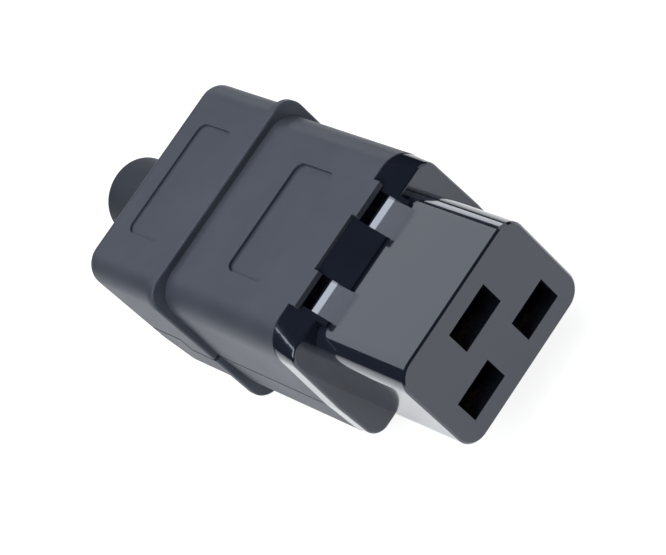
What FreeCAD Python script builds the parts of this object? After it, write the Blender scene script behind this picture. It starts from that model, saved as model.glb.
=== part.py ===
"""Rewireable C19 appliance connector, 16 A, in millimetres.

Frame: the origin is the middle of the mating face, +X points out of that face towards the
inlet, +Z is the side with the earth slot, and the cable leaves towards -X.
"""
import FreeCAD, Part
import itertools
import math
import os

V = FreeCAD.Vector
AXIS_X = V(1, 0, 0)
AXIS_Y = V(0, 1, 0)
AXIS_Z = V(0, 0, 1)

# ---- nose of the insert ----
NOSE_LENGTH = 19.05
NOSE_WIDTH = 27.1
NOSE_HEIGHT = 18.4
NOSE_CORNER = 3.2
NOSE_LEAD_IN = 0.3

# ---- contact places, as seen on the mating face ----
POLE_OFFSET = 6.5          # line and neutral, each side of the middle
POLE_DROP = 4.0            # line and neutral below the middle, earth as far above it
POLE_SLOT = (7.2, 4.2)     # width, height
EARTH_SLOT = (8.2, 4.2)
FACE_WALL = 4.2            # depth of the slots before the contact chambers
CHAMBER = (7.6, 6.0)

# ---- collar of the insert ----
COLLAR_THICK = 3.45
COLLAR_STEP = 0.2          # how far the collar stays below the housing's surface
BEVEL_FRONT_HEIGHT = 10.6  # half height of the collar at its front plane
BEVEL_FRONT_CORNER = 2.5
COLLAR_EDGE = 0.45         # rounding round the front plane
BLOCK_WIDTH = 8.9          # middle ramp on top
BLOCK_REACH = 1.4          # how far the ramp runs out over the nose
WINDOW_OUTER = 10.3        # half width over the two windows beside the ramp
RIDGE_BACK = 2.2           # ridge in each window: its back, behind the collar's front plane
RIDGE_TOE = 1.55           # its toe on the nose, in front of that plane
RIDGE_APEX = 10.85         # its height before the crest is rounded
RIDGE_CREST = 0.5
STRUT_WIDTH = 0.8          # ribs that close the outer ends of the ridges
NECK_LENGTH = 1.5
FLANGE_THICK = 2.0
FLANGE_GRIP = 0.8          # how far the flange reaches into the housing wall

# ---- housing ----
BODY_LENGTH = 25.9         # from the rim to the flange ring
BODY_HALF_WIDTH = 17.3     # at the parting plane
BODY_HALF_HEIGHT = 13.2
BODY_CORNER = 4.5
DRAFT = 2.0                # degrees, both halves
TONGUE_LENGTH = 1.4        # housing lip over the windows
TONGUE_THICK = 0.9
BLOCK_NOTCH = 1.0          # how far the ramp bites into that lip
RING_THICK = 1.2
RING_PROUD = 0.9           # over the housing's side
RING_EDGE = 0.36
RING_TOP = 14.4
RING_BOTTOM = 14.7
RING_CORNER = 3.4
REAR_LENGTH = 17.5
REAR_STEP = 0.7            # rear section, in from the ring's side
REAR_TOP = 13.9
REAR_BOTTOM = 13.4
REAR_CORNER = 3.7
REAR_EDGE = 1.6
REAR_FACET = (5.8, 11.0, 8.5)   # lower rear corners, cut back along X, Z and Y
WALL = 1.8
BULKHEAD_FRONT = 0.5       # wall across the inside, in front of the ring's front plane
BULKHEAD_BACK = 1.6        # and behind it
PARTING = -2.0
SEAM = 0.45                # height and depth of the groove along the parting plane
TAB_DROP = 3.0             # side tabs of the upper half, behind the ring
TAB_LENGTH = 8.4
GUIDE_HALF_WIDTH = 7.0     # wire passage through the bulkhead
GUIDE_HALF_HEIGHT = 8.0

# ---- recessed panels on the upper side ----
PANEL_CORNER = 1.5
MAIN_PANEL = (8.7, 18.4, 0.45)   # along X, along Y, depth
MAIN_PANEL_SETBACK = 7.3   # from the rim of the housing
REAR_PANEL = (8.0, 19.4, 0.35)
REAR_PANEL_SETBACK = 4.6   # from the flange ring

# ---- cable boot ----
CABLE_BORE = 8.6
BOOT_LENGTH = 17.5
BOOT_ROOT_RADIUS = 7.0
BOOT_TIP_RADIUS = 6.2
BOOT_TIP_ROUND = 0.6       # rounding of the tip, as a share of its wall
BOOT_COLLAR_RADIUS = 8.6
BOOT_COLLAR_THICK = 2.0
BOOT_NECK_RADIUS = 5.8

# ---- contacts ----
CONTACT_WIDTH = 6.2
LEAF = 0.8
CONTACT_RECESS = 5.0       # from the mating face to the contact's mouth
MOUTH_HALF_GAP = 2.2
PINCH_HALF_GAP = 0.95
HEEL_HALF_GAP = 1.5
PINCH_AT = 3.2             # from the mouth
HEEL_AT = 6.0
HEEL_END = 14.0
TAIL_THICK = 1.2
TAIL_WIDTH = 5.0
TAIL_OVERHANG = 9.0        # past the retainer
BAND_THICK = 0.5
BAND_LENGTH = 4.0
BAND_AT = 8.0              # from the mouth

# ---- retainer and terminals ----
RETAINER_THICK = 2.0
SHELF_LENGTH = 9.6
SHELF_WALL = 1.2
SHELF_RISE = 3.3           # side walls over the shelf's floor
BLOCK_SIZE = (7.0, 7.2, 6.6)     # terminal block, along X, Y, Z
BLOCK_FLOOR = 1.3
BLOCK_ROOF = 2.0
BLOCK_EDGE = 0.5
BLOCK_GAP = 0.6            # from the retainer plate to the block
WIRE_WAY = 5.2             # width of the wire way in the block
TERMINAL_SCREW = (1.75, 2.5, 1.8)    # shank radius, head radius, head height
TERMINAL_SCREW_TIP = 0.6   # how far the screw stands into the wire way
HEAD_ROUND = 0.25          # edge of a screw head, as a share of its height
HEAD_SLOT = (0.32, 0.45)   # slot width as a share of the radius, depth of the height

# ---- cord clamp and housing screws ----
CLAMP_SIZE = (4.4, 25.0, 3.0)
CLAMP_END_ROUND = 1.85
CLAMP_ARCH = 2.4           # thickness of the clamp over the cord
CLAMP_SCREW_OFFSET = 9.6
CLAMP_SCREW = (1.45, 2.3, 1.6)
CLAMP_BOSS_RADIUS = 2.5
SADDLE_THICK = 3.0
CORD_GRIP_RADIUS = 4.1
HOUSING_SCREW = (1.45, 2.4, 1.5)
HOUSING_BOSS_RADIUS = 3.2
BOSS_BITE = 6.0            # thread length in the upper boss
MAIN_SCREW_AT = (21.6, 6.9)      # behind the rim, in from the housing's side
REAR_SCREW_AT = (3.8, 6.7)       # behind the ring, in from the housing's side
HEAD_POCKET = 2.0

# ---- clearances ----
FIT = 0.1                  # parts that are put together by hand
THREAD = 0.05              # screw in its hole
OVERLAP = 1.0              # how far cutters and joined forms run past each other
REACH = 40.0               # past every side of the housing

COLLAR_FRONT = -NOSE_LENGTH
RIM = COLLAR_FRONT - COLLAR_THICK
NECK_END = RIM - NECK_LENGTH
INSERT_END = NECK_END - FLANGE_THICK
RETAINER_END = INSERT_END - FIT - RETAINER_THICK
RING_FRONT = RIM - BODY_LENGTH
RING_REAR = RING_FRONT - RING_THICK
REAR_END = RING_REAR - REAR_LENGTH
COLLAR_HALF_HEIGHT = BODY_HALF_HEIGHT - COLLAR_STEP
BEVEL_SLOPE = (COLLAR_HALF_HEIGHT - BEVEL_FRONT_HEIGHT) / COLLAR_THICK
RING_HALF_WIDTH = BODY_HALF_WIDTH + RING_PROUD
REAR_HALF_WIDTH = RING_HALF_WIDTH - REAR_STEP
CAVITY_HALF_WIDTH = BODY_HALF_WIDTH - WALL
CAVITY_HALF_HEIGHT = BODY_HALF_HEIGHT - WALL
BOOT_COLLAR_REAR = REAR_END + WALL + FIT
# The clamp sits midway between the rear screws' bosses and the boot's collar.
CLAMP_X = (BOOT_COLLAR_REAR + BOOT_COLLAR_THICK
           + RING_REAR - REAR_SCREW_AT[0] - HOUSING_BOSS_RADIUS) / 2

# name: place across, place up, slot size, side wall of the terminal's shelf
POLES = {
    "line": (POLE_OFFSET, -POLE_DROP, POLE_SLOT, SHELF_WALL),
    "neutral": (-POLE_OFFSET, -POLE_DROP, POLE_SLOT, SHELF_WALL),
    "earth": (0.0, POLE_DROP, EARTH_SLOT, 0.0),
}


def box(x_range, y_range, z_range):
    """A box between two limits on each axis."""
    size = [high - low for low, high in (x_range, y_range, z_range)]
    return Part.makeBox(*size, V(x_range[0], y_range[0], z_range[0]))


def long_edges(solid, axis):
    """The straight edges of a solid that run along an axis."""
    found = []
    for edge in solid.Edges:
        if isinstance(edge.Curve, Part.Line) and abs(edge.tangentAt(0).dot(axis)) > 0.999:
            found.append(edge)
    return found


def edges_at_x(solid, x):
    """The edges of a solid that lie in the plane at x."""
    def in_plane(edge):
        limits = edge.BoundBox
        return abs(limits.XMin - x) < 1e-3 and abs(limits.XMax - x) < 1e-3
    return [edge for edge in solid.Edges if in_plane(edge)]


def rounded_bar(x_range, half_width, z_range, corner):
    """A bar along X with a rounded rectangular section."""
    bar = box(x_range, (-half_width, half_width), z_range)
    return bar.makeFillet(corner, long_edges(bar, AXIS_X))


def drafted_bar(x_range, half_width, z_range, corner):
    """A bar along X, widest at the parting plane, with rounded edges."""
    low, high = z_range
    lean = math.tan(math.radians(DRAFT))
    outline = []
    for side in (-1, 1):
        column = []
        for z in (low, PARTING, high):
            column.append(V(x_range[0], side * (half_width - lean * abs(z - PARTING)), z))
        outline += column[::side]
    outline.append(outline[0])
    bar = Part.Face(Part.makePolygon(outline)).extrude(AXIS_X * (x_range[1] - x_range[0]))
    rounded = [edge for edge in long_edges(bar, AXIS_X)
               if abs(edge.CenterOfMass.z - PARTING) > 1]
    return bar.makeFillet(corner, rounded)


def end_outline(bar, x):
    """The outline of a bar's end face in the plane at x."""
    for face in bar.Faces:
        limits = face.BoundBox
        if abs(limits.XMin - x) < 1e-3 and abs(limits.XMax - x) < 1e-3:
            return face.OuterWire


def prism_y(points, y_range):
    """A flat outline in X and Z, drawn out along Y."""
    outline = [V(x, y_range[0], z) for x, z in points]
    outline.append(outline[0])
    face = Part.Face(Part.makePolygon(outline))
    return face.extrude(AXIS_Y * (y_range[1] - y_range[0]))


def rod(radius, start, end, axis=AXIS_X):
    """A round bar along an axis; start is a point, end its distance."""
    return Part.makeCylinder(radius, abs(end), start, axis * math.copysign(1, end))


def mirrored_pair(solid):
    """A solid and its mirror image on the other side of the middle plane."""
    return [solid, solid.mirror(V(0, 0, 0), AXIS_Y)]


# ---------------------------------------------------------------- insert

def window_ridge():
    """The ridge that closes a window: a steep back, a rounded crest and a ramp to the nose."""
    top = NOSE_HEIGHT / 2
    root = top - OVERLAP
    back = COLLAR_FRONT - RIDGE_BACK
    toe = COLLAR_FRONT + RIDGE_TOE
    ridge = prism_y([(toe, top), (back, RIDGE_APEX), (back, root), (toe, root)],
                    (BLOCK_WIDTH / 2, WINDOW_OUTER - STRUT_WIDTH))
    crest = [edge for edge in long_edges(ridge, AXIS_Y)
             if abs(edge.CenterOfMass.z - RIDGE_APEX) < 1e-3]
    return ridge.makeFillet(RIDGE_CREST, crest)


def bevel_ramp(back, y_range):
    """A ramp in the plane of the collar's bevel, from x back to its toe on the nose."""
    toe = COLLAR_FRONT + BLOCK_REACH
    root = NOSE_HEIGHT / 2 - OVERLAP
    return prism_y([(toe, BEVEL_FRONT_HEIGHT - BEVEL_SLOPE * BLOCK_REACH),
                    (back, BEVEL_FRONT_HEIGHT + BEVEL_SLOPE * (COLLAR_FRONT - back)),
                    (back, root), (toe, root)], y_range)


def collar():
    """The collar with its bevels, the two windows and the ramp between them."""
    rim = drafted_bar((RIM, COLLAR_FRONT), BODY_HALF_WIDTH,
                      (-COLLAR_HALF_HEIGHT, COLLAR_HALF_HEIGHT), BODY_CORNER)
    front = drafted_bar((RIM, COLLAR_FRONT), BODY_HALF_WIDTH,
                        (-BEVEL_FRONT_HEIGHT, BEVEL_FRONT_HEIGHT), BEVEL_FRONT_CORNER)
    body = Part.makeLoft([end_outline(rim, RIM), end_outline(front, COLLAR_FRONT)], True, True)
    body = body.makeFillet(COLLAR_EDGE, edges_at_x(body, COLLAR_FRONT))
    window = box((RIM - OVERLAP, COLLAR_FRONT + OVERLAP), (BLOCK_WIDTH / 2, WINDOW_OUTER),
                 (NOSE_HEIGHT / 2, COLLAR_HALF_HEIGHT + OVERLAP))
    under_tongue = box((RIM, RIM + TONGUE_LENGTH + FIT),
                       (-WINDOW_OUTER - FIT, WINDOW_OUTER + FIT),
                       (BODY_HALF_HEIGHT - TONGUE_THICK - FIT, BODY_HALF_HEIGHT))
    ramp = bevel_ramp(RIM + TONGUE_LENGTH - BLOCK_NOTCH + FIT,
                      (-BLOCK_WIDTH / 2, BLOCK_WIDTH / 2))
    strut = bevel_ramp(COLLAR_FRONT - RIDGE_BACK, (WINDOW_OUTER - STRUT_WIDTH, WINDOW_OUTER))
    body = body.cut(mirrored_pair(window) + [under_tongue])
    return body.fuse([ramp] + mirrored_pair(window_ridge()) + mirrored_pair(strut))


def nose_insert():
    """Nose, collar, neck and flange in one moulding, with its three contact chambers."""
    nose = rounded_bar((COLLAR_FRONT - OVERLAP, 0), NOSE_WIDTH / 2,
                       (-NOSE_HEIGHT / 2, NOSE_HEIGHT / 2), NOSE_CORNER)
    nose = nose.makeChamfer(NOSE_LEAD_IN, edges_at_x(nose, 0))
    neck = rounded_bar((NECK_END, RIM), CAVITY_HALF_WIDTH - FIT,
                       (FIT - CAVITY_HALF_HEIGHT, CAVITY_HALF_HEIGHT - FIT),
                       BODY_CORNER - WALL)
    flange = flange_bar((INSERT_END, NECK_END), FIT)
    solid = collar().fuse([nose, neck, flange])
    cutters = []
    for y, z, slot, _ in POLES.values():
        cutters.append(box((-FACE_WALL - OVERLAP, OVERLAP), (y - slot[0] / 2, y + slot[0] / 2),
                           (z - slot[1] / 2, z + slot[1] / 2)))
        cutters.append(box((INSERT_END - OVERLAP, -FACE_WALL),
                           (y - CHAMBER[0] / 2, y + CHAMBER[0] / 2),
                           (z - CHAMBER[1] / 2, z + CHAMBER[1] / 2)))
    return solid.cut(cutters).removeSplitter()


def flange_bar(x_range, inset):
    """The flange outline that sits in the housing's groove."""
    half_width = CAVITY_HALF_WIDTH + FLANGE_GRIP - inset
    half_height = CAVITY_HALF_HEIGHT + FLANGE_GRIP - inset
    return rounded_bar(x_range, half_width, (-half_height, half_height), BODY_CORNER - WALL)


# ---------------------------------------------------------------- housing

def rear_form(inset):
    """The rear section, shrunk by inset on every outer side, with cut-back lower corners."""
    start = REAR_END + inset
    half_width = REAR_HALF_WIDTH - inset
    bar = rounded_bar((start, RING_REAR), half_width, (inset - REAR_BOTTOM, REAR_TOP - inset),
                      REAR_CORNER - inset / 2)
    along, up, across = REAR_FACET
    corner = V(start, half_width, inset - REAR_BOTTOM)
    apex = corner + V(-OVERLAP, OVERLAP, -OVERLAP)
    grown = 1 + OVERLAP / along + OVERLAP / up + OVERLAP / across
    tips = [apex + V(along, 0, 0) * grown, apex - V(0, across, 0) * grown,
            apex + V(0, 0, up) * grown]
    sides = [[apex, first, second] for first, second in itertools.combinations(tips, 2)]
    faces = [Part.Face(Part.makePolygon(side + side[:1])) for side in sides + [tips]]
    facet = Part.Solid(Part.Shell(faces))
    return bar.cut(mirrored_pair(facet))


def housing_outside():
    """Everything that the two housing halves fill, before they are hollowed."""
    body = drafted_bar((RING_FRONT, RIM), BODY_HALF_WIDTH,
                       (-BODY_HALF_HEIGHT, BODY_HALF_HEIGHT), BODY_CORNER)
    rear = rear_form(0)
    rear = rear.makeFillet(REAR_EDGE, edges_at_x(rear, REAR_END))
    ring = rounded_bar((RING_REAR, RING_FRONT), RING_HALF_WIDTH, (-RING_BOTTOM, RING_TOP),
                       RING_CORNER)
    ring = ring.makeFillet(RING_EDGE, edges_at_x(ring, RING_FRONT))
    half_lip = box((RIM - OVERLAP, RIM + TONGUE_LENGTH), (BLOCK_WIDTH / 2 + FIT, WINDOW_OUTER),
                   (BODY_HALF_HEIGHT - TONGUE_THICK, BODY_HALF_HEIGHT))
    root = box((RIM - OVERLAP, RIM + TONGUE_LENGTH - BLOCK_NOTCH), (-WINDOW_OUTER, WINDOW_OUTER),
               (BODY_HALF_HEIGHT - TONGUE_THICK, BODY_HALF_HEIGHT))
    return body.fuse([rear, ring, root] + mirrored_pair(half_lip))


def panel(front, length, width, depth, top):
    """A shallow recess with rounded corners, cut into the upper side."""
    pocket = box((front - length, front), (-width / 2, width / 2), (top - depth, top + OVERLAP))
    return pocket.makeFillet(PANEL_CORNER, long_edges(pocket, AXIS_Z))


def housing_hollow():
    """The space inside the housing."""
    inner_corner = BODY_CORNER - WALL
    front = rounded_bar((RING_FRONT + BULKHEAD_FRONT, RIM + OVERLAP), CAVITY_HALF_WIDTH,
                        (-CAVITY_HALF_HEIGHT, CAVITY_HALF_HEIGHT), inner_corner)
    lip_bed = box((RIM, RIM + OVERLAP), (-BODY_HALF_WIDTH, BODY_HALF_WIDTH),
                  (0, BODY_HALF_HEIGHT))
    groove = flange_bar((RETAINER_END - FIT, NECK_END + FIT), 0)
    rear = rear_form(WALL).common(box((REAR_END, RING_FRONT - BULKHEAD_BACK),
                                      (-RING_HALF_WIDTH, RING_HALF_WIDTH),
                                      (-RING_BOTTOM, RING_TOP)))
    passage = rounded_bar((RING_REAR - OVERLAP, RING_FRONT + OVERLAP), GUIDE_HALF_WIDTH,
                          (-GUIDE_HALF_HEIGHT, GUIDE_HALF_HEIGHT), inner_corner)
    exit_hole = rod(BOOT_NECK_RADIUS + FIT, V(REAR_END - OVERLAP, 0, 0), WALL + 2 * OVERLAP)
    return front.cut(lip_bed).fuse([groove, rear, passage, exit_hole])


def screw_places():
    """Middle of each housing screw, named by where it sits."""
    main_x = RIM - MAIN_SCREW_AT[0]
    main_y = BODY_HALF_WIDTH - MAIN_SCREW_AT[1]
    rear_x = RING_REAR - REAR_SCREW_AT[0]
    rear_y = BODY_HALF_WIDTH - REAR_SCREW_AT[1]
    return {
        "front_left": (main_x, main_y),
        "front_right": (main_x, -main_y),
        "rear_left": (rear_x, rear_y),
        "rear_right": (rear_x, -rear_y),
    }


def bosses():
    """The round posts for the housing screws, from the lower wall to the upper one."""
    return [rod(HOUSING_BOSS_RADIUS, V(x, y, -REAR_BOTTOM), REAR_BOTTOM + BODY_HALF_HEIGHT, AXIS_Z)
            for x, y in screw_places().values()]


def upper_region(grow):
    """The space of the upper half, grown by that much: above the parting plane, and two tabs."""
    region = box((REAR_END - REACH, 0), (-REACH, REACH), (PARTING - grow, REACH))
    tab = box((RING_REAR - TAB_LENGTH - grow, RING_REAR), (CAVITY_HALF_WIDTH, REACH),
              (PARTING - TAB_DROP - grow, PARTING + OVERLAP))
    return region.fuse(mirrored_pair(tab))


def seam():
    """The shallow groove round the lower half, where it meets the upper one."""
    skins = []
    for x_range, half_width in (((RING_FRONT, RIM), BODY_HALF_WIDTH),
                                ((REAR_END, RING_FRONT), REAR_HALF_WIDTH)):
        skins += mirrored_pair(box(x_range, (half_width - SEAM, REACH), (-REAR_BOTTOM, 0)))
    skins.append(box((REAR_END - OVERLAP, REAR_END + SEAM), (-REACH, REACH), (-REAR_BOTTOM, 0)))
    return upper_region(SEAM).common(skins[0].fuse(skins[1:]))


def housing_halves():
    """The upper and the lower half of the housing."""
    outside = housing_outside()
    hollow = housing_hollow().cut(bosses())
    cast = outside.cut(hollow)
    upper = upper_region(0)
    top = cast.common(upper)
    bottom = cast.cut([upper, seam()])
    pockets = [
        panel(RIM - MAIN_PANEL_SETBACK, *MAIN_PANEL, BODY_HALF_HEIGHT),
        panel(RING_REAR - REAR_PANEL_SETBACK, *REAR_PANEL, REAR_TOP),
    ]
    shank, head, height = HOUSING_SCREW
    for x, y in screw_places().values():
        pockets.append(rod(shank + THREAD, V(x, y, PARTING), BOSS_BITE + FIT, AXIS_Z))
    top = top.cut(pockets)
    holes = []
    for x, y in screw_places().values():
        seat = HEAD_POCKET - REAR_BOTTOM
        holes.append(rod(shank + FIT, V(x, y, PARTING + OVERLAP), -REAR_BOTTOM, AXIS_Z))
        holes.append(rod(head + FIT, V(x, y, seat), -HEAD_POCKET - OVERLAP, AXIS_Z))
    bottom = bottom.fuse(cord_saddle()).cut(holes + clamp_holes())
    return top.removeSplitter(), bottom.removeSplitter()


# ---------------------------------------------------------------- cord clamp and boot

def cord_saddle():
    """The lower saddle of the cord grip, with a screw boss at each end."""
    half = CLAMP_SIZE[1] / 2
    floor = WALL / 2 - REAR_BOTTOM
    web = box((CLAMP_X - SADDLE_THICK / 2, CLAMP_X + SADDLE_THICK / 2), (-half, half),
              (floor, -FIT))
    posts = [rod(CLAMP_BOSS_RADIUS, V(CLAMP_X, side * CLAMP_SCREW_OFFSET, floor),
                 -FIT - floor, AXIS_Z) for side in (-1, 1)]
    grip = rod(CORD_GRIP_RADIUS, V(CLAMP_X - SADDLE_THICK, 0, 0), 2 * SADDLE_THICK)
    return web.fuse(posts).cut(grip)


def clamp_holes():
    """Thread holes for the clamp screws in the saddle's posts."""
    return [rod(CLAMP_SCREW[0] + THREAD, V(CLAMP_X, side * CLAMP_SCREW_OFFSET, 0),
                CLAMP_SIZE[2] - REAR_BOTTOM + WALL, AXIS_Z) for side in (-1, 1)]


def cord_clamp():
    """The arched bar that is screwed down on the cord."""
    length, width, thick = CLAMP_SIZE
    bar = box((CLAMP_X - length / 2, CLAMP_X + length / 2), (-width / 2, width / 2), (0, thick))
    bar = bar.makeFillet(CLAMP_END_ROUND, long_edges(bar, AXIS_Z))
    arch = rod(CORD_GRIP_RADIUS + CLAMP_ARCH, V(CLAMP_X - length / 2, 0, 0), length)
    arch = arch.common(box((CLAMP_X - length, CLAMP_X + length), (-width, width),
                           (0, REAR_TOP)))
    cord = rod(CORD_GRIP_RADIUS, V(CLAMP_X - length, 0, 0), 2 * length)
    holes = [rod(CLAMP_SCREW[0] + FIT, V(CLAMP_X, side * CLAMP_SCREW_OFFSET, -OVERLAP),
                 thick + 2 * OVERLAP, AXIS_Z) for side in (-1, 1)]
    return bar.fuse(arch).cut([cord] + holes).removeSplitter()


def cable_boot():
    """The rubber sleeve round the cable, turned about the cable's axis."""
    inner = CABLE_BORE / 2
    tip = REAR_END - BOOT_LENGTH
    collar_rear = BOOT_COLLAR_REAR
    nose = collar_rear + BOOT_COLLAR_THICK
    outline = [
        V(nose, inner, 0), V(nose, BOOT_COLLAR_RADIUS, 0), V(collar_rear, BOOT_COLLAR_RADIUS, 0),
        V(collar_rear, BOOT_NECK_RADIUS, 0), V(REAR_END - FIT, BOOT_NECK_RADIUS, 0),
        V(REAR_END - FIT, BOOT_ROOT_RADIUS, 0), V(tip, BOOT_TIP_RADIUS, 0), V(tip, inner, 0),
    ]
    profile = Part.Face(Part.makePolygon(outline + [outline[0]]))
    sleeve = profile.revolve(V(0, 0, 0), AXIS_X, 360)
    lip = [edge for edge in edges_at_x(sleeve, tip) if edge.Curve.Radius > inner + FIT]
    return sleeve.makeFillet(BOOT_TIP_ROUND * (BOOT_TIP_RADIUS - inner), lip)


# ---------------------------------------------------------------- contacts and terminals

def leaf(side, z, y):
    """One spring leaf of a contact, curved from its flared mouth to the straight heel."""
    mouth = -CONTACT_RECESS
    gaps = [(mouth, MOUTH_HALF_GAP), (mouth - PINCH_AT, PINCH_HALF_GAP),
            (mouth - HEEL_AT, HEEL_HALF_GAP), (mouth - HEEL_END, HEEL_HALF_GAP)]
    lines = []
    for extra in (0, LEAF):
        path = [V(x, y, z + side * (gap + extra)) for x, gap in gaps]
        bow = Part.BSplineCurve()
        bow.interpolate(path[:3])
        lines.append((bow.toShape(), Part.makeLine(path[2], path[3]), path))
    near, far = lines
    ends = [Part.makeLine(near[2][0], far[2][0]), Part.makeLine(near[2][3], far[2][3])]
    wire = Part.Wire(Part.__sortEdges__([near[0], near[1], far[0], far[1]] + ends))
    return Part.Face(wire).extrude(AXIS_Y * CONTACT_WIDTH)


def contact(y, z):
    """A female contact folded from brass strip: two leaves, a round heel and a tail."""
    left = y - CONTACT_WIDTH / 2
    heel_x = -CONTACT_RECESS - HEEL_END
    outer = rod(HEEL_HALF_GAP + LEAF, V(heel_x, left, z), CONTACT_WIDTH, AXIS_Y)
    inner = rod(HEEL_HALF_GAP, V(heel_x, left, z), CONTACT_WIDTH, AXIS_Y)
    size = HEEL_HALF_GAP + LEAF
    behind = box((heel_x - size, heel_x), (left, left + CONTACT_WIDTH), (z - size, z + size))
    heel = outer.cut(inner).common(behind)
    tail_start = heel_x - HEEL_HALF_GAP - LEAF / 2
    shoulder = box((INSERT_END, tail_start), (left, left + CONTACT_WIDTH),
                   (z - TAIL_THICK / 2, z + TAIL_THICK / 2))
    tail = box((RETAINER_END - TAIL_OVERHANG, INSERT_END), (y - TAIL_WIDTH / 2, y + TAIL_WIDTH / 2),
               (z - TAIL_THICK / 2, z + TAIL_THICK / 2))
    return leaf(1, z, left).fuse([leaf(-1, z, left), heel, shoulder, tail]).removeSplitter()


def spring_band(y, z):
    """The steel band that keeps the two leaves of a contact together."""
    front = -CONTACT_RECESS - BAND_AT
    half_width = CONTACT_WIDTH / 2
    half_height = HEEL_HALF_GAP + LEAF
    outer = box((front - BAND_LENGTH, front),
                (y - half_width - BAND_THICK, y + half_width + BAND_THICK),
                (z - half_height - BAND_THICK, z + half_height + BAND_THICK))
    outer = outer.makeFillet(BAND_THICK, long_edges(outer, AXIS_X))
    inner = box((front - BAND_LENGTH - OVERLAP, front + OVERLAP),
                (y - half_width, y + half_width),
                (z - half_height, z + half_height))
    return outer.cut(inner)


def block_front():
    """Front plane of the terminal blocks."""
    return RETAINER_END - BLOCK_GAP


def contact_retainer():
    """The plate behind the insert, with a shelf and side walls for each terminal."""
    plate = flange_bar((RETAINER_END, INSERT_END - FIT), FIT)
    plate = plate.common(box((RETAINER_END, INSERT_END), (-BODY_HALF_WIDTH, BODY_HALF_WIDTH),
                             (-BODY_HALF_HEIGHT, BODY_HALF_HEIGHT)))
    shelves = []
    slots = []
    for y, z, _, wall in POLES.values():
        half = BLOCK_SIZE[1] / 2 + FIT
        floor = z - TAIL_THICK / 2 - BLOCK_FLOOR - FIT
        outer = box((RETAINER_END - SHELF_LENGTH, RETAINER_END + OVERLAP),
                    (y - half - wall, y + half + wall), (floor - SHELF_WALL, floor + SHELF_RISE))
        trough = box((RETAINER_END - SHELF_LENGTH - OVERLAP, RETAINER_END), (y - half, y + half),
                     (floor, floor + SHELF_RISE + OVERLAP))
        shelves.append(outer.cut(trough))
        slots.append(box((RETAINER_END - OVERLAP, INSERT_END + OVERLAP),
                         (y - TAIL_WIDTH / 2 - FIT, y + TAIL_WIDTH / 2 + FIT),
                         (z - TAIL_THICK / 2 - FIT, z + TAIL_THICK / 2 + FIT)))
    return plate.fuse(shelves).cut(slots).removeSplitter()


def terminal_block(y, z):
    """A brass block that takes the contact's tail and the wire, with a screw from above."""
    length, width, height = BLOCK_SIZE
    front = block_front()
    floor = z - TAIL_THICK / 2 - BLOCK_FLOOR
    block = box((front - length, front), (y - width / 2, y + width / 2), (floor, floor + height))
    block = block.makeChamfer(BLOCK_EDGE, long_edges(block, AXIS_Z))
    way = box((front - length - OVERLAP, front + OVERLAP), (y - WIRE_WAY / 2, y + WIRE_WAY / 2),
              (floor + BLOCK_FLOOR, floor + height - BLOCK_ROOF))
    thread = rod(TERMINAL_SCREW[0] + THREAD, V(front - length / 2, y, z), height, AXIS_Z)
    return block.cut([way, thread])


def slotted_screw(shank, head, height, length, seat, direction):
    """A cheese-head screw; seat is the point under its head, direction runs to its tip."""
    body = rod(shank, seat, length, direction)
    cap = rod(head, seat, height, -direction)
    rim = [edge for edge in cap.Edges
           if isinstance(edge.Curve, Part.Circle)
           and abs((edge.CenterOfMass - seat).dot(direction) + height) < 1e-3]
    cap = cap.makeFillet(height * HEAD_ROUND, rim)
    width, depth = head * HEAD_SLOT[0], height * HEAD_SLOT[1]
    top = seat - direction * height
    low = min(top.z, (top + direction * depth).z)
    slot = box((top.x - 2 * head, top.x + 2 * head), (top.y - width / 2, top.y + width / 2),
               (low, low + depth))
    return body.fuse(cap).cut(slot)


def terminal_screw(y, z):
    """The screw of a terminal block, turned down on the wire way."""
    shank, head, height = TERMINAL_SCREW
    roof = z - TAIL_THICK / 2 - BLOCK_FLOOR + BLOCK_SIZE[2]
    seat = V(block_front() - BLOCK_SIZE[0] / 2, y, roof + THREAD)
    return slotted_screw(shank, head, height, BLOCK_ROOF + TERMINAL_SCREW_TIP, seat, -AXIS_Z)


def clamp_screw(side):
    """A screw of the cord clamp."""
    shank, head, height = CLAMP_SCREW
    seat = V(CLAMP_X, side * CLAMP_SCREW_OFFSET, CLAMP_SIZE[2])
    return slotted_screw(shank, head, height, CLAMP_SIZE[2] + BOSS_BITE, seat, -AXIS_Z)


def housing_screw(x, y):
    """A long screw from the underside into the upper boss."""
    shank, head, height = HOUSING_SCREW
    seat = V(x, y, HEAD_POCKET - REAR_BOTTOM)
    reach = PARTING + BOSS_BITE - seat.z
    return slotted_screw(shank, head, height, reach, seat, AXIS_Z)


def build():
    """Every piece of the connector by its name."""
    upper, lower = housing_halves()
    pieces = {
        "nose_insert": nose_insert(),
        "upper_housing": upper,
        "lower_housing": lower,
        "contact_retainer": contact_retainer(),
        "cable_boot": cable_boot(),
        "cord_clamp": cord_clamp(),
        "clamp_screw_left": clamp_screw(1),
        "clamp_screw_right": clamp_screw(-1),
    }
    for name, (y, z, _, _) in POLES.items():
        pieces["contact_" + name] = contact(y, z)
        pieces["spring_band_" + name] = spring_band(y, z)
        pieces["terminal_block_" + name] = terminal_block(y, z)
        pieces["terminal_screw_" + name] = terminal_screw(y, z)
    for name, (x, y) in screw_places().items():
        pieces["housing_screw_" + name] = housing_screw(x, y)
    return pieces


os.makedirs("parts", exist_ok=True)
for name, shape in build().items():
    shape.exportStep("parts/" + name + ".step")
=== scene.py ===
import math

import bpy
from mathutils import Matrix, Vector


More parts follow.
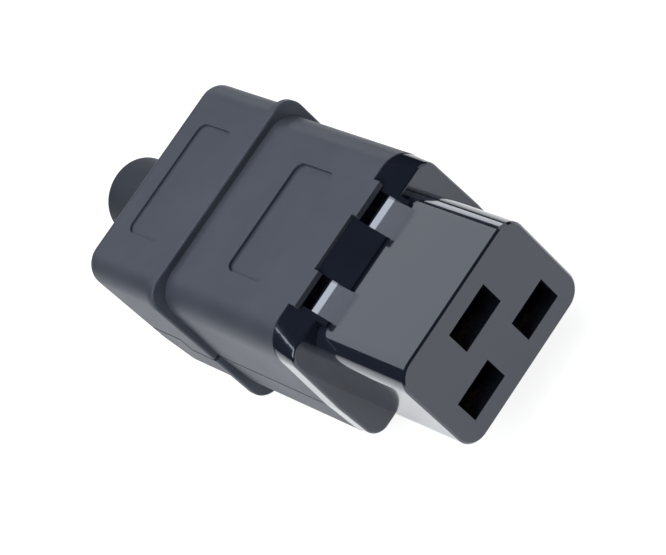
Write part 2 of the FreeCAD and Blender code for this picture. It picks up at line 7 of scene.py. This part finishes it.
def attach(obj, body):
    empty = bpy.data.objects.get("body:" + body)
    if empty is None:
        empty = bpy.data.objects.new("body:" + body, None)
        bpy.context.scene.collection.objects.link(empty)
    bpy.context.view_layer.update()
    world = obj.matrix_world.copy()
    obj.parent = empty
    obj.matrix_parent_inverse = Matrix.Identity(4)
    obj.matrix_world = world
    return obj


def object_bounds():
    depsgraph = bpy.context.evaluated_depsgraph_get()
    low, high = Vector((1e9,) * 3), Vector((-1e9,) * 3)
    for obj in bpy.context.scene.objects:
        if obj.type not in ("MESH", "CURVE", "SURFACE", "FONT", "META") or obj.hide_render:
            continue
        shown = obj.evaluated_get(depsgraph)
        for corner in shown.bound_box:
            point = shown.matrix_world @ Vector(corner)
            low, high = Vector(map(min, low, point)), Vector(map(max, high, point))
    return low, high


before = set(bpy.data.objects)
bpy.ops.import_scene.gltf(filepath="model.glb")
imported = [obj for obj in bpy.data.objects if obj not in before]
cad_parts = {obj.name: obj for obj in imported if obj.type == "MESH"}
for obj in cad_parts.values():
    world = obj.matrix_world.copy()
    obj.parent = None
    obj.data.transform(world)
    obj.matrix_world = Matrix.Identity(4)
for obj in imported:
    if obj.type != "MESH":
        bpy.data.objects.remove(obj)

CAD_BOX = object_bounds()
MM = 0.001

# Camera: seen from above the mating end, rolled so that the connector lies across the picture
VIEW_AZIMUTH = -13.286
VIEW_ELEVATION = 38.082
VIEW_ROLL = -47.466
VIEW_DISTANCE = 402.4 * MM
VIEW_CENTRE = Vector((-31.85, -1.34, 1.85)) * MM
LENS = 156.12
SENSOR = 36.0
VIEW_LIMIT = 20.0    # metres

# Plastics and metals
COAT_ROUGHNESS = 0.05
COOL = (0.72, 0.80, 1.0, 1.0)    # colour of the plastics' own reflections
CLOUD_SIZE = 9.0 * MM            # patches of tone and gloss on plastic
CLOUD_DETAIL = 3.0
TONE_SIZE = 3.0 * MM             # patches of tone on metal
NOISE_MIDDLE = 0.5
NOISE_HALF_RANGE = 0.25          # the noise seldom goes further from its middle

# Latch ridges, in millimetres and degrees
NOSE_TOP = 9.2
RIDGE_BACK = -21.27
RIDGE_TOP = 10.84
RIDGE_ROOT = 0.3                 # how far the ridge reaches down into the nose
RIDGE_SPAN = (4.43, 9.52)        # from the middle plane
RIDGE_CREST = 0.55               # radius
RIDGE_FACE = 0.70                # length of the steep upper face
RIDGE_STEEP = 25.0
RIDGE_HOLLOW = 4.0               # radius between the upper face and the ramp
RIDGE_GENTLE = 19.5
RIDGE_TOE = 3.0                  # radius where the ramp meets the nose
CREST_STEPS, HOLLOW_STEPS, TOE_STEPS = 10, 5, 8
SHARP_FROM = 40.0

# Studio
FLOOR_REACH = 6.0
FLOOR_COLOUR = (0.80, 0.80, 0.80)
FLOOR_SEEN = (0.32, 0.32, 0.32)
CAMERA_GLOW = 0.89
MIRROR_GLOW = 0.45
WORLD_LEVEL = 0.10
WORLD_WHITE = 1.0
LAMP_COLOUR = (0.92, 0.96, 1.0)
LAMPS = (    # name, direction, distance, size, level
    ("key_box", (-0.55, 0.05, 0.82), 0.45, (0.38, 0.42), 0.33),
    ("top_box", (-0.01, 0.08, 0.99), 0.45, (0.36, 0.11), 0.42),
    ("far_box", (-0.75, 0.60, 0.30), 0.60, (0.20, 0.16), 0.08),
    ("near_box", (0.30, -0.68, 0.66), 0.20, (0.14, 0.14), 0.60),
    ("front_box", (0.62, 0.70, 0.35), 0.45, (0.25, 0.25), 0.12),
)


def linear(grey):
    """Scene-linear value of a display value from 0 to 1."""
    return grey / 12.92 if grey <= 0.04045 else ((grey + 0.055) / 1.055) ** 2.4


def paint(red, green, blue):
    """A display colour as the shader wants it."""
    return (linear(red), linear(green), linear(blue), 1.0)


class Material:
    """A node material round one Principled BSDF."""

    def __init__(self, name, metallic=0.0):
        self.material = bpy.data.materials.new(name)
        self.material.use_nodes = True
        self.tree = self.material.node_tree
        self.shader = self.tree.nodes["Principled BSDF"]
        self.place = self.node("ShaderNodeTexCoord").outputs["Object"]
        self.shader.inputs["Metallic"].default_value = metallic

    def node(self, kind, **settings):
        made = self.tree.nodes.new(kind)
        for key, value in settings.items():
            setattr(made, key, value)
        return made

    def link(self, source, target):
        self.tree.links.new(source, target)

    def noise(self, grain, detail=2.0, stretch=(1.0, 1.0, 1.0)):
        """Noise with lumps of about this size in metres, stretched along the axes."""
        mapping = self.node("ShaderNodeMapping")
        mapping.inputs["Scale"].default_value = [1.0 / (grain * part) for part in stretch]
        noise = self.node("ShaderNodeTexNoise")
        noise.inputs["Scale"].default_value = 1.0
        noise.inputs["Detail"].default_value = detail
        self.link(self.place, mapping.inputs["Vector"])
        self.link(mapping.outputs["Vector"], noise.inputs["Vector"])
        return noise.outputs["Fac"]

    def spread(self, factor, low, high):
        """The noise's middle range mapped to low..high."""
        span = self.node("ShaderNodeMapRange")
        span.inputs["From Min"].default_value = NOISE_MIDDLE - NOISE_HALF_RANGE
        span.inputs["From Max"].default_value = NOISE_MIDDLE + NOISE_HALF_RANGE
        span.inputs["To Min"].default_value = low
        span.inputs["To Max"].default_value = high
        self.link(factor, span.inputs["Value"])
        return span.outputs["Result"]

    def tint(self, factor, dark, light):
        mix = self.node("ShaderNodeMix", data_type="RGBA")
        mix.inputs["A"].default_value = dark
        mix.inputs["B"].default_value = light
        self.link(factor, mix.inputs["Factor"])
        self.link(mix.outputs["Result"], self.shader.inputs["Base Color"])

    def rough(self, factor, low, high):
        self.link(self.spread(factor, low, high), self.shader.inputs["Roughness"])

    def relief(self, factor, height):
        """Bumps of this height in metres."""
        bump = self.node("ShaderNodeBump")
        bump.inputs["Distance"].default_value = height
        bump.inputs["Strength"].default_value = 1.0
        self.link(factor, bump.inputs["Height"])
        self.link(bump.outputs["Normal"], self.shader.inputs["Normal"])


def moulded_plastic(name, dark, light, gloss, grain, height, coat=0.0):
    """Moulded plastic: a fine spark-eroded grain, with faint cloudy changes of tone and gloss."""
    made = Material(name)
    cloud = made.noise(CLOUD_SIZE, detail=CLOUD_DETAIL)
    texture = made.noise(grain)
    made.tint(made.spread(cloud, 0.0, 1.0), dark, light)
    made.rough(cloud, *gloss)
    made.relief(texture, height)
    made.shader.inputs["Specular Tint"].default_value = COOL
    if coat:
        made.shader.inputs["Coat Weight"].default_value = coat
        made.shader.inputs["Coat Roughness"].default_value = COAT_ROUGHNESS
    return made.material


def metal(name, dark, light, gloss, grain, stretch, height):
    """Rolled or turned metal: fine drawn lines and a slight change of tone."""
    made = Material(name, metallic=1.0)
    lines = made.noise(grain, stretch=stretch)
    tone = made.noise(TONE_SIZE)
    made.tint(made.spread(tone, 0.0, 1.0), dark, light)
    made.rough(lines, *gloss)
    made.relief(lines, height)
    return made.material


def finishes():
    """One finish for each material slot of the record."""
    return {
        "housing_plastic": moulded_plastic(
            "shell_finish", dark=paint(0.255, 0.267, 0.298), light=paint(0.295, 0.307, 0.338),
            gloss=(0.42, 0.50), grain=0.30 * MM, height=0.012 * MM),
        "insert_plastic": moulded_plastic(
            "nose_finish", dark=paint(0.110, 0.125, 0.165), light=paint(0.125, 0.140, 0.180),
            gloss=(0.10, 0.15), grain=1.2 * MM, height=0.0006 * MM, coat=1.0),
        "inner_plastic": moulded_plastic(
            "retainer_finish", dark=paint(0.16, 0.16, 0.17), light=paint(0.19, 0.19, 0.20),
            gloss=(0.5, 0.6), grain=0.3 * MM, height=0.006 * MM),
        "boot_rubber": moulded_plastic(
            "boot_finish", dark=paint(0.190, 0.200, 0.225), light=paint(0.215, 0.225, 0.250),
            gloss=(0.55, 0.66), grain=0.22 * MM, height=0.010 * MM),
        "contact_brass": metal(
            "contact_finish", dark=paint(0.72, 0.60, 0.38), light=paint(0.82, 0.70, 0.46),
            gloss=(0.22, 0.34), grain=0.12 * MM, stretch=(8.0, 1.0, 1.0), height=0.002 * MM),
        "spring_steel": metal(
            "spring_finish", dark=paint(0.55, 0.55, 0.56), light=paint(0.66, 0.66, 0.67),
            gloss=(0.26, 0.38), grain=0.12 * MM, stretch=(1.0, 8.0, 1.0), height=0.002 * MM),
        "screw_steel": metal(
            "screw_finish", dark=paint(0.60, 0.60, 0.61), light=paint(0.72, 0.72, 0.73),
            gloss=(0.24, 0.36), grain=0.15 * MM, stretch=(1.0, 1.0, 1.0), height=0.003 * MM),
    }


def dress_nodes():
    """Gives each node of the frame the finish of its slot."""
    made = finishes()
    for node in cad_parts.values():
        for place in node.material_slots:
            place.material = made[place.material.name]


def arc(centre, radius, start, end, steps):
    """Points on an arc in the XZ plane; angles in degrees from +X towards +Z."""
    angles = [math.radians(start + (end - start) * step / steps) for step in range(steps + 1)]
    return [(centre[0] + radius * math.cos(angle), centre[1] + radius * math.sin(angle))
            for angle in angles]


def ridge_profile():
    """Outline of a latch ridge: round crest, steep upper face, gentler ramp and soft toe."""
    steep, gentle = math.radians(RIDGE_STEEP), math.radians(RIDGE_GENTLE)
    points = arc((RIDGE_BACK + RIDGE_CREST, RIDGE_TOP - RIDGE_CREST), RIDGE_CREST,
                 180.0, 90.0 - RIDGE_STEEP, CREST_STEPS)
    x, z = points[-1]
    x, z = x + RIDGE_FACE * math.cos(steep), z - RIDGE_FACE * math.sin(steep)
    centre = (x + RIDGE_HOLLOW * math.sin(steep), z + RIDGE_HOLLOW * math.cos(steep))
    points += arc(centre, RIDGE_HOLLOW, 270.0 - RIDGE_STEEP, 270.0 - RIDGE_GENTLE, HOLLOW_STEPS)
    x, z = points[-1]
    fall = z - NOSE_TOP - RIDGE_TOE * (1.0 - math.cos(gentle))
    x += fall / math.tan(gentle) + RIDGE_TOE * math.sin(gentle)
    points += arc((x, NOSE_TOP + RIDGE_TOE), RIDGE_TOE, 270.0 - RIDGE_GENTLE, 270.0, TOE_STEPS)
    points += [(x, NOSE_TOP - RIDGE_ROOT), (RIDGE_BACK, NOSE_TOP - RIDGE_ROOT)]
    return points


def add_latch_ridges():
    """The moulded ridges in the two windows of the collar, each one profile drawn straight across
    its window.
    """
    profile = ridge_profile()
    count = len(profile)
    for name, side in (("latch_ridge_left", 1.0), ("latch_ridge_right", -1.0)):
        inner, outer = [side * limit for limit in RIDGE_SPAN]
        verts = [Vector((x, y, z)) * MM for y in (inner, outer) for x, z in profile]
        pairs = [(i, (i + 1) % count) for i in range(count)]
        faces = [(i, after, count + after, count + i) for i, after in pairs]
        faces += [tuple(range(count)), tuple(range(2 * count - 1, count - 1, -1))]
        mesh = bpy.data.meshes.new(name)
        mesh.from_pydata(verts, [], faces)
        if side < 0:
            mesh.flip_normals()
        mesh.shade_smooth()
        mesh.set_sharp_from_angle(angle=math.radians(SHARP_FROM))
        ridge = bpy.data.objects.new(name, mesh)
        bpy.context.collection.objects.link(ridge)
        mesh.materials.append(bpy.data.materials["nose_finish"])
        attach(ridge, "root")


def add_camera():
    """The camera of the photograph."""
    azimuth = math.radians(VIEW_AZIMUTH)
    elevation = math.radians(VIEW_ELEVATION)
    roll = math.radians(VIEW_ROLL)
    back = Vector((math.cos(elevation) * math.cos(azimuth),
                   math.cos(elevation) * math.sin(azimuth),
                   math.sin(elevation)))
    level = Vector((0.0, 0.0, 1.0)).cross(back).normalized()
    upright = back.cross(level)
    right = math.cos(roll) * level + math.sin(roll) * upright
    up = back.cross(right)
    camera = bpy.data.objects.new("camera", bpy.data.cameras.new("camera"))
    camera.data.lens = LENS
    camera.data.sensor_width = SENSOR
    camera.data.clip_end = VIEW_LIMIT
    turn = Matrix((right, up, back)).transposed()
    camera.matrix_world = Matrix.Translation(VIEW_CENTRE + VIEW_DISTANCE * back) @ turn.to_4x4()
    bpy.context.collection.objects.link(camera)
    bpy.context.scene.camera = camera


def ray_kind(tree, *kinds):
    """1 for rays of any of these kinds."""
    path = tree.nodes.new("ShaderNodeLightPath")
    total = path.outputs[kinds[0]]
    for kind in kinds[1:]:
        either = tree.nodes.new("ShaderNodeMath")
        either.operation = "MAXIMUM"
        tree.links.new(total, either.inputs[0])
        tree.links.new(path.outputs[kind], either.inputs[1])
        total = either.outputs["Value"]
    return total


def paper(tree, colour, glow):
    """Diffuse paper of this colour, with a glow that the shadow leaves alone."""
    plain = tree.nodes.new("ShaderNodeBsdfDiffuse")
    plain.inputs["Color"].default_value = (*colour, 1.0)
    light = tree.nodes.new("ShaderNodeEmission")
    light.inputs["Strength"].default_value = glow
    both = tree.nodes.new("ShaderNodeAddShader")
    tree.links.new(plain.outputs[0], both.inputs[0])
    tree.links.new(light.outputs[0], both.inputs[1])
    return both.outputs[0]


def add_floor():
    """A pale floor: near white to the camera, greyer in reflections, with a soft shadow."""
    low = CAD_BOX[0][2]
    corners = [(x * FLOOR_REACH, y * FLOOR_REACH, low)
               for x, y in ((-1, -1), (1, -1), (1, 1), (-1, 1))]
    mesh = bpy.data.meshes.new("floor")
    mesh.from_pydata(corners, [], [(0, 1, 2, 3)])
    floor = bpy.data.objects.new("floor", mesh)
    bpy.context.collection.objects.link(floor)
    material = bpy.data.materials.new("floor_paper")
    material.use_nodes = True
    tree = material.node_tree
    tree.nodes.remove(tree.nodes["Principled BSDF"])
    surface = paper(tree, FLOOR_COLOUR, 0.0)
    for kinds, colour, glow in (
            (("Is Glossy Ray", "Is Transmission Ray"), FLOOR_COLOUR, MIRROR_GLOW),
            (("Is Camera Ray",), FLOOR_SEEN, CAMERA_GLOW)):
        pick = tree.nodes.new("ShaderNodeMixShader")
        tree.links.new(ray_kind(tree, *kinds), pick.inputs["Fac"])
        tree.links.new(surface, pick.inputs[1])
        tree.links.new(paper(tree, colour, glow), pick.inputs[2])
        surface = pick.outputs[0]
    tree.links.new(surface, tree.nodes["Material Output"].inputs["Surface"])
    mesh.materials.append(material)


def add_world():
    """Even, dim light from all round; the camera sees plain white."""
    world = bpy.data.worlds.new("studio")
    world.use_nodes = True
    tree = world.node_tree
    backdrop = tree.nodes["Background"]
    path = tree.nodes.new("ShaderNodeLightPath")
    level = tree.nodes.new("ShaderNodeMapRange")
    level.inputs["To Min"].default_value = WORLD_LEVEL
    level.inputs["To Max"].default_value = WORLD_WHITE
    tree.links.new(path.outputs["Is Camera Ray"], level.inputs["Value"])
    tree.links.new(level.outputs["Result"], backdrop.inputs["Strength"])
    bpy.context.scene.world = world


def add_lamp(name, direction, distance, size, level):
    """A soft box that far along the direction from the point that the camera looks at.

    The level is about the brightness that it gives a white surface facing it.
    """
    towards = Vector(direction).normalized()
    across = (Vector((0.0, 1.0, 0.0)) - towards.y * towards).normalized()
    turn = Matrix((across, towards.cross(across), towards)).transposed()
    data = bpy.data.lights.new(name, "AREA")
    data.shape = "RECTANGLE"
    data.size, data.size_y = size
    data.color = LAMP_COLOUR
    data.energy = level * math.pi * distance ** 2 * math.pi
    lamp = bpy.data.objects.new(name, data)
    lamp.matrix_world = Matrix.Translation(VIEW_CENTRE + distance * towards) @ turn.to_4x4()
    bpy.context.collection.objects.link(lamp)


dress_nodes()
add_camera()
add_floor()
add_world()
add_latch_ridges()
for lamp_row in LAMPS:
    add_lamp(*lamp_row)

bpy.context.scene.view_settings.view_transform = "Standard"
